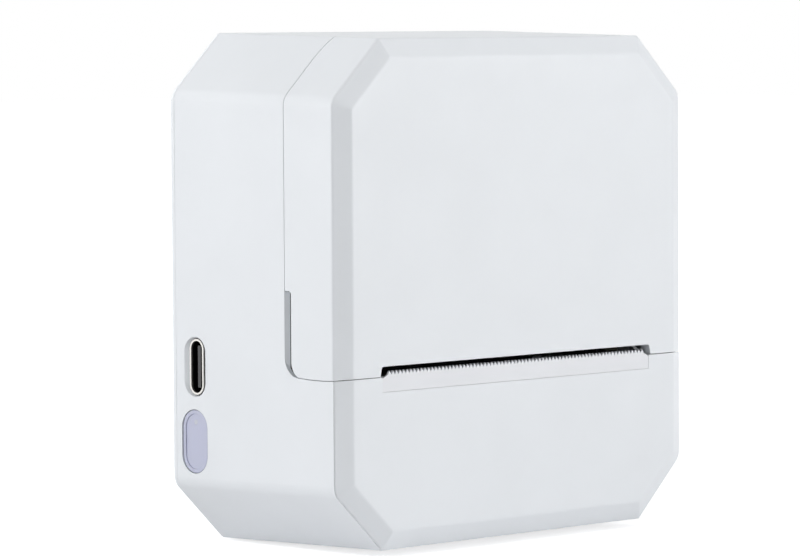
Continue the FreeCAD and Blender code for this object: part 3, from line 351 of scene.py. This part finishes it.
def socket_sleeve():
    """Drawn nickel at the socket's mouth, with painted shade that turns it dark further in."""
    material = brushed("drawn_nickel_painted_shade", NICKEL, rough=0.42, along="X", depth=0.001)
    tree = material.node_tree
    shader = tree.nodes["Principled BSDF"]
    nickel = shader.inputs["Base Color"].links[0].from_socket
    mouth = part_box("usb_shell")[0][0]
    apart = tree.nodes.new("ShaderNodeSeparateXYZ")
    tree.links.new(tree.nodes.new("ShaderNodeTexCoord").outputs["Object"], apart.inputs[0])
    inward = tree.nodes.new("ShaderNodeMapRange")
    inward.inputs["From Min"].default_value = mouth + SLEEVE_SHADE_FADE[0] * MM
    inward.inputs["From Max"].default_value = mouth + SLEEVE_SHADE_FADE[1] * MM
    tree.links.new(apart.outputs["X"], inward.inputs["Value"])
    # Painted shade: deeper in the socket the nickel colour is covered by a near-black one, where the
    # recess is in shade
    painted_shade = covered(tree, inward.outputs["Result"], nickel, SLEEVE_PAINTED_SHADE)
    tree.links.new(painted_shade, shader.inputs["Base Color"])
    return material


def lilac_key():
    """Milky lilac key cap with soft light inside it."""
    material = moulded("milky_lilac", LILAC, rough=0.34, grain=0.3, depth=0.002, spread=0.03,
                       soften=KEY_EDGE_SOFT)
    shader = material.node_tree.nodes["Principled BSDF"]
    shader.inputs["Subsurface Weight"].default_value = KEY_GLOW
    shader.inputs["Subsurface Radius"].default_value = KEY_GLOW_TINT
    shader.inputs["Subsurface Scale"].default_value = KEY_GLOW_DEPTH * MM
    shader.inputs["Coat Weight"].default_value = KEY_COAT
    return material


def glazed_head():
    """Glazed ceramic strip with fine leads across it."""
    material, tree, shader, place = new_surface("glazed_ceramic")
    cloud = noise(tree, place, GLAZE_CLOUD)
    base = mixed(tree, cloud, *GLAZE_TONES)
    leads = tree.nodes.new("ShaderNodeTexWave")
    leads.inputs["Scale"].default_value = 2 * math.pi / (WAVE_RATE * LEAD_PITCH * MM)
    leads.bands_direction = "X"
    tree.links.new(place, leads.inputs["Vector"])
    faint = tree.nodes.new("ShaderNodeMath")
    faint.operation = "MULTIPLY"
    faint.inputs[1].default_value = LEAD_SHARE
    tree.links.new(leads.outputs["Fac"], faint.inputs[0])
    lined = covered(tree, faint.outputs[0], base, LEAD_TONE)
    tree.links.new(lined, shader.inputs["Base Color"])
    tree.links.new(ranged(tree, cloud, *GLAZE_ROUGH), shader.inputs["Roughness"])
    relief(tree, shader, noise(tree, place, GLAZE_GRAIN), GLAZE_DEPTH)
    return material


def circuit_board():
    """Green solder mask with paler tracks."""
    material, tree, shader, place = new_surface("solder_mask")
    cells = tree.nodes.new("ShaderNodeTexVoronoi")
    cells.distance = "MANHATTAN"
    cells.feature = "F1"
    cells.inputs["Scale"].default_value = 1.0 / (TRACK_SIZE * MM)
    tree.links.new(place, cells.inputs["Vector"])
    tracks = cells.outputs["Distance"]
    tree.links.new(mixed(tree, tracks, *MASK_TONES), shader.inputs["Base Color"])
    gloss = ranged(tree, noise(tree, place, MASK_PATCH), *MASK_ROUGH)
    tree.links.new(gloss, shader.inputs["Roughness"])
    relief(tree, shader, tracks, TRACK_DEPTH)
    return material


def plastics():
    """Each moulded plastic, film and wrap, with the pieces that wear it."""
    return (
        (moulded("white_satin_plastic", WHITE, rough=0.42, grain=0.16, depth=0.003, spread=0.012,
                 soften=EDGE_SOFT),
         ("main_housing", "rear_cover", "lower_front_panel", "lid")),
        (moulded("white_strip_plastic", STRIP_WHITE, rough=0.40, grain=0.1, depth=0.002, spread=0.012,
                 soften=EDGE_SOFT),
         ("tear_bar",)),
        (lilac_key(), ("power_button",)),
        (moulded("clear_light_pipe", LIGHT_PIPE, rough=0.24, grain=0.3, depth=0.001), ("status_light",)),
        (moulded("black_plastic", BLACK, rough=0.5, grain=0.12, depth=0.006, spread=0.15),
         ("print_frame", "platen_cradle", "key_switch", "lid_switch", "gap_sensor")),
        (moulded("gloss_black_plastic", DEEP_BLACK, rough=0.22, grain=0.2, depth=0.001, spread=0.1),
         ("usb_tongue",)),
        (moulded("graphite_plastic", GRAPHITE, rough=0.5, grain=0.2, depth=0.01, spread=0.1),
         ("roll_bin",)),
        (moulded("grey_plastic", GREY, rough=0.42, grain=0.16, depth=0.006, spread=0.05),
         ("left_roll_guide", "right_roll_guide", "left_guide_rack", "right_guide_rack")),
        (moulded("ivory_acetal", IVORY, rough=0.38, grain=0.1, depth=0.002, spread=0.04),
         ("platen_gear", "idler_gear", "motor_pinion", "guide_pinion")),
        (moulded("amber_film", AMBER, rough=0.3, grain=0.4, depth=0.002, spread=0.06),
         ("head_ribbon_cable",)),
        (moulded("epoxy_black", DEEP_BLACK, rough=0.55, grain=0.1, depth=0.004, spread=0.2),
         ("board_chips",)),
        (moulded("cell_wrap", CELL_BLUE, rough=0.28, grain=1.5, depth=0.02, spread=0.08),
         ("battery_pack",)),
    )


def metals_and_others():
    """Each metal, rubber and other finish, with the pieces that wear it."""
    return (
        (moulded("sintered_bronze", BRONZE, rough=0.45, grain=0.15, depth=0.006, spread=0.12),
         ("platen_bushings",)),
        (brushed("brushed_steel", STEEL, rough=0.32, along="X"),
         ("hinge_pins", "head_pivot_rod", "platen_shaft", "idler_stud", "motor_shaft", "stepper_motor",
          "head_spring")),
        (brushed("zinc_plated", ZINC, rough=0.36, along="Z", depth=0.002),
         ("case_screws", "frame_screws", "cradle_screws", "board_screws")),
        (brushed("milled_aluminium", ALUMINIUM, rough=0.30, along="X"), ("head_bracket",)),
        (socket_sleeve(), ("usb_shell",)),
        (rubbery("ground_rubber", ROLLER_BLACK, rough=0.62, grain=0.25, depth=0.012), ("platen_rubber",)),
        (rubbery("foot_rubber", FOOT_GREY, rough=0.7, grain=0.5, depth=0.02), ("rubber_feet",)),
        (glazed_head(), ("print_head",)),
        (circuit_board(), ("main_board",)),
    )


def dress_nodes():
    """Gives every piece of the frame its finish."""
    for material, names in plastics() + metals_and_others():
        for name in names:
            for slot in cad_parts[name].material_slots:
                slot.material = material


make_camera()
make_lights()
make_world()
make_floor()
dress_nodes()

bpy.context.scene.view_settings.view_transform = "Standard"
